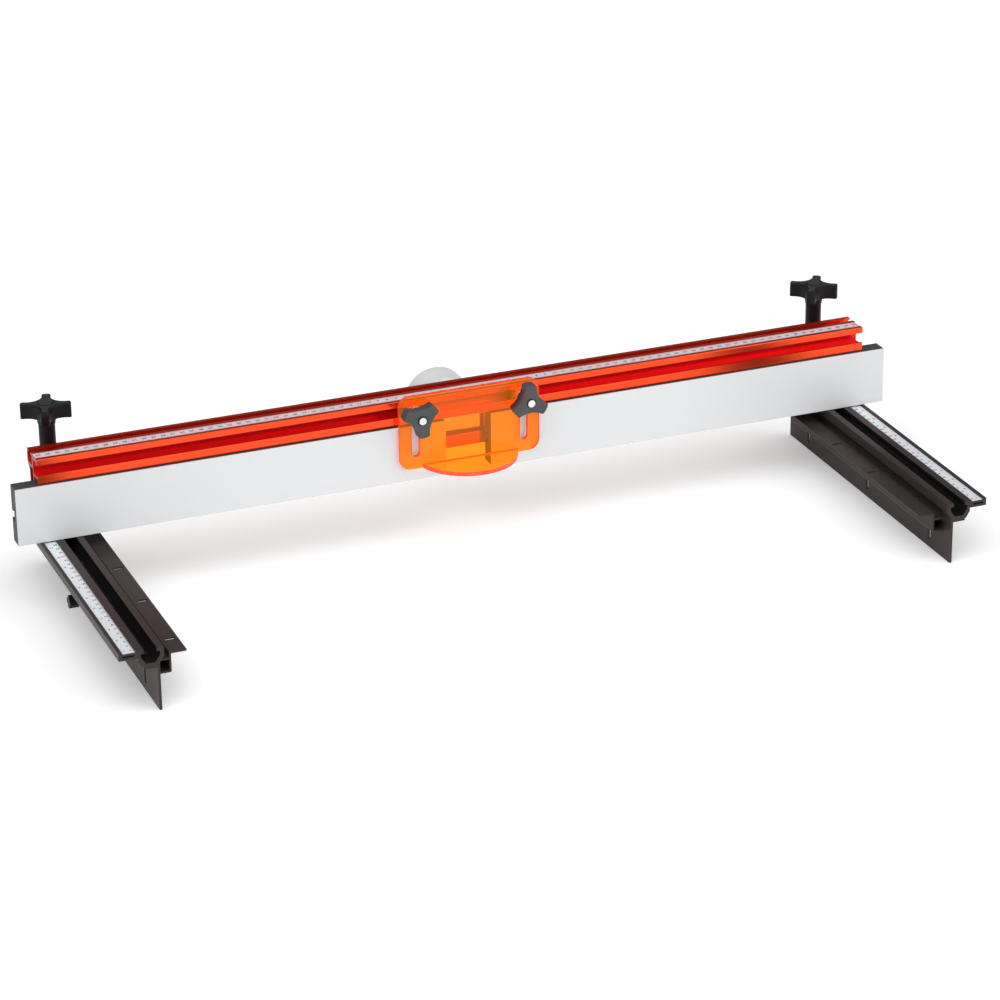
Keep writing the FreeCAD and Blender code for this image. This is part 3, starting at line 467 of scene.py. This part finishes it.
# The walls of the beam's front T-slot wear painted shade.
eased("fence_beam", 0.3, others=((RED_PAINTED_SHADE, is_slot_inside), (SAWN, is_beam_end)))
# The edges of the guard plate and shelf wear a painted glow.
eased("guard_plate", 0.2, others=((PAINTED_GLOW_EDGE, is_guard_side),))
eased("guard_shelf", 0.2, others=((PAINTED_GLOW_EDGE, is_shelf_rim),))
# The faces inside the hood wear the stronger painted glow.
eased("dust_hood", 0.4, others=((MILKY_PAINTED_GLOW, is_hood_inside),))
for side in SIDES:
    # The top of the knob's raised cap wears painted light.
    eased(f"{side}_clamp_knob", 0.0, others=((KNOB_PAINTED_LIGHT, cap_of(f"{side}_clamp_knob")),))
    # The walls and floor of the rail's T-slot wear painted shade.
    eased(f"{side}_rail_track", 0.35, others=((BLACK_PAINTED_SHADE, is_track_inside),))
for node in sorted(frame["nodes"]):
    for ending, width in EASING_MM.items():
        if node.endswith(ending):
            eased(node, width)


# ---- printed scales ----

INK_HEIGHT = 0.06 * MM
TICK_WIDTH = 0.28 * MM
EDGE_MARGIN = 0.15 * MM
CAP_HEIGHT = 0.72
BOLDNESS = 0.14 * MM
GLYPH_WELD = 0.0005 * MM
NUMBER_HEIGHT = 3.4 * MM
SMALL_NUMBER_HEIGHT = 2.7 * MM
NUMBER_MARGIN = 2 * MM
CM_COLUMN = 3.4 * MM
INCH_COLUMN = 3.9 * MM
CENTIMETRE = 10 * MM
INCH = 25.4 * MM
RED_EVERY = 5
RED_GROWTH = 1.2
RAIL_ZERO = -287 * MM
TICKS = (1.1 * MM, 1.6 * MM, 2.3 * MM)
BEAM_NUMBER_SHIFT = 3 * MM
INCH_NUMBER_SHIFT = -5 * MM


class Scale:
    """A printed strip: the CAD strip itself with raised ink ticks and numbers on its top."""

    def __init__(self, node, along, zero, toward):
        self.node = node
        self.along = along
        self.zero = zero
        self.toward = toward
        self.low, self.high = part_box(node)
        self.mesh = clean_mesh(node)
        self.labels = {}

    def spot(self, distance, across):
        """A place on the strip, from its distance along the scale and its place across it."""
        reach = self.zero + self.toward * distance
        if self.along == "X":
            return Vector((reach, across, self.high.z))
        return Vector((across, reach, self.high.z))

    def inside(self, distance, margin):
        axis = "XYZ".index(self.along)
        reach = self.zero + self.toward * distance
        return self.low[axis] + margin < reach < self.high[axis] - margin

    def tick(self, distance, edge, into, length, ink):
        """A raised line across the strip, from one edge inwards."""
        middle = self.spot(distance, edge + into * (EDGE_MARGIN + length / 2))
        size = [length, TICK_WIDTH] if self.along == "Y" else [TICK_WIDTH, length]
        shape = Matrix.Translation(middle) @ Matrix.Diagonal((*size, INK_HEIGHT, 1.0))
        made = bmesh.ops.create_cube(self.mesh, size=1.0, matrix=shape)
        for face in {face for vert in made["verts"] for face in vert.link_faces}:
            face.material_index = ink

    def number(self, value, distance, across, height, ink):
        """A raised number that reads from the front."""
        label = (str(value), height * (RED_GROWTH if ink == 2 else 1.0))
        if label not in self.labels:
            self.labels[label] = glyphs(*label)
        self.mesh.from_mesh(self.labels[label])
        count = len(self.labels[label].vertices)
        faces = len(self.labels[label].polygons)
        self.mesh.verts.ensure_lookup_table()
        self.mesh.faces.ensure_lookup_table()
        middle = self.spot(distance, across)
        for vert in self.mesh.verts[-count:]:
            vert.co += middle
        for face in self.mesh.faces[-faces:]:
            face.material_index = ink

    def graduate(self, step, lengths, edge, into, mark_every):
        """Ticks at every step, longer at the half and whole divisions."""
        reach = max(abs(self.low["XYZ".index(self.along)] - self.zero),
                    abs(self.high["XYZ".index(self.along)] - self.zero))
        for number in range(-int(reach / step), int(reach / step) + 1):
            if self.inside(number * step, TICK_WIDTH):
                whole = number % mark_every == 0
                half = number % (mark_every // 2) == 0
                length = lengths[2] if whole else lengths[1] if half else lengths[0]
                self.tick(number * step, edge, into, length, 1)

    def done(self, film):
        data = bpy.data.meshes.new(self.node + "_piece")
        self.mesh.to_mesh(data)
        self.mesh.free()
        finish_piece(self.node, data, [film, INK, RED_INK])


def glyphs(text, height):
    """A number as a thin closed mesh about its own middle."""
    curve = bpy.data.curves.new("number", "FONT")
    curve.body = text
    curve.size = height / CAP_HEIGHT
    curve.extrude = INK_HEIGHT / 2
    curve.offset = BOLDNESS
    curve.resolution_u = 2
    curve.align_x = "CENTER"
    curve.align_y = "CENTER"
    item = bpy.data.objects.new("number", curve)
    data = bpy.data.meshes.new_from_object(item)
    bpy.data.objects.remove(item)
    mesh = bmesh.new()
    mesh.from_mesh(data)
    bmesh.ops.remove_doubles(mesh, verts=mesh.verts, dist=GLYPH_WELD)
    mesh.to_mesh(data)
    mesh.free()
    return data


def beam_scale():
    """Centimetres to both sides of the cutter axis, ticked along both edges."""
    low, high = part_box("beam_scale")
    scale = Scale("beam_scale", "X", 0.0, 1)
    for edge, into in ((low.y, 1), (high.y, -1)):
        scale.graduate(MM, TICKS, edge, into, 10)
    for value in range(int(high.x / CENTIMETRE) + 1):
        ink = 2 if value % RED_EVERY == 0 else 1
        for sign in {-1, 1} if value else {1}:
            reach = sign * (value * CENTIMETRE + (BEAM_NUMBER_SHIFT if value else 0.0))
            if scale.inside(reach, NUMBER_MARGIN):
                scale.number(value, reach, (low.y + high.y) / 2, NUMBER_HEIGHT, ink)
    scale.done(BEAM_FILM)


def rail_scale(side, sign):
    """Centimetres along the inner edge and inches along the outer one, from the front end."""
    node = f"{side}_rail_scale"
    low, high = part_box(node)
    inner, outer = (low.x, high.x) if sign > 0 else (high.x, low.x)
    scale = Scale(node, "Y", RAIL_ZERO, 1)
    scale.graduate(MM, TICKS, inner, sign, 10)
    scale.graduate(INCH / 8, TICKS, outer, -sign, 8)
    for value in range(1, int((high.y - RAIL_ZERO) / CENTIMETRE) + 1):
        ink = 2 if value % RED_EVERY == 0 else 1
        if scale.inside(value * CENTIMETRE, NUMBER_MARGIN):
            scale.number(value, value * CENTIMETRE, inner + sign * CM_COLUMN,
                         SMALL_NUMBER_HEIGHT, ink)
    for value in range(1, int((high.y - RAIL_ZERO) / INCH) + 1):
        reach = value * INCH + INCH_NUMBER_SHIFT
        if scale.inside(reach, NUMBER_MARGIN):
            scale.number(value, reach, outer - sign * INCH_COLUMN, SMALL_NUMBER_HEIGHT, 1)
    scale.done(RAIL_FILM)


beam_scale()
for side, sign in SIDES.items():
    rail_scale(side, sign)

for node, item in sorted(frame["nodes"].items()):
    if not item.hide_render:
        eased(node, 0.0)


# ---- studio ----

FLOOR_SIZE = 30.0
FLOOR_CLEARANCE = 0.0002
LIGHTS = (("key", 34.0, 3.2, (-1.2, -1.0, 2.8)), ("fill", 16.0, 2.4, (2.2, -2.4, 1.4)))
CAMERA_PLACE = (-1.274966, -3.301073, 1.525627)
CAMERA_TURN = (-21.638, 23.775, -0.678)
CAMERA_LENS_MM = 133.27


def studio():
    """Pale floor, a soft overhead light, a side fill, and a surround that darkens behind."""
    bpy.ops.mesh.primitive_plane_add(size=FLOOR_SIZE,
                                     location=(0, 0, CAD_BOX[0][2] - FLOOR_CLEARANCE))
    floor = bpy.context.object
    floor.name = "floor"
    ground = Surface("floor_paper", (0.90, 0.90, 0.90), 0.9, 0.0, 0.0)
    ground.vary_color(ground.pattern(3.0, 2.0), (0.895, 0.895, 0.895), (0.905, 0.905, 0.905))
    ground.shader.inputs["Emission Color"].default_value = (1.0, 1.0, 1.0, 1.0)
    ground.shader.inputs["Emission Strength"].default_value = 0.25
    floor.data.materials.append(ground.material)
    for name, power, size, spot in LIGHTS:
        light = bpy.data.lights.new(name, "AREA")
        light.energy = power
        light.size = size
        lamp = bpy.data.objects.new(name, light)
        lamp.location = spot
        lamp.rotation_euler = (-Vector(spot)).to_track_quat("-Z", "Y").to_euler()
        bpy.context.scene.collection.objects.link(lamp)
    world = bpy.data.worlds.new("surround")
    world.use_nodes = True
    tree = world.node_tree
    place = tree.nodes.new("ShaderNodeTexCoord")
    split = tree.nodes.new("ShaderNodeSeparateXYZ")
    span = tree.nodes.new("ShaderNodeMapRange")
    span.inputs["From Min"].default_value = -0.1
    span.inputs["From Max"].default_value = 0.6
    ramp = tree.nodes.new("ShaderNodeValToRGB")
    ramp.color_ramp.elements[0].color = (1.0, 1.0, 1.0, 1.0)
    ramp.color_ramp.elements[1].color = (0.16, 0.16, 0.17, 1.0)
    tree.links.new(place.outputs["Generated"], split.inputs["Vector"])
    tree.links.new(split.outputs["Y"], span.inputs["Value"])
    tree.links.new(span.outputs["Result"], ramp.inputs["Fac"])
    tree.links.new(ramp.outputs["Color"], tree.nodes["Background"].inputs["Color"])
    tree.nodes["Background"].inputs["Strength"].default_value = 1.05
    bpy.context.scene.world = world
    bpy.context.scene.view_settings.view_transform = "Standard"


def camera():
    """Long lens, seen from the front left and above."""
    azimuth, elevation, roll = (math.radians(angle) for angle in CAMERA_TURN)
    back = Vector((math.sin(azimuth) * math.cos(elevation),
                   -math.cos(azimuth) * math.cos(elevation), math.sin(elevation)))
    right = (-back).cross(Vector((0, 0, 1))).normalized()
    up = right.cross(-back)
    across = right * math.cos(roll) + up * math.sin(roll)
    upright = up * math.cos(roll) - right * math.sin(roll)
    data = bpy.data.cameras.new("camera")
    data.lens = CAMERA_LENS_MM
    data.sensor_width = 36.0
    data.clip_end = 100.0
    item = bpy.data.objects.new("camera", data)
    turn = Matrix((across, upright, back)).transposed().to_4x4()
    item.matrix_world = Matrix.Translation(CAMERA_PLACE) @ turn
    bpy.context.scene.collection.objects.link(item)
    bpy.context.scene.camera = item


studio()
camera()
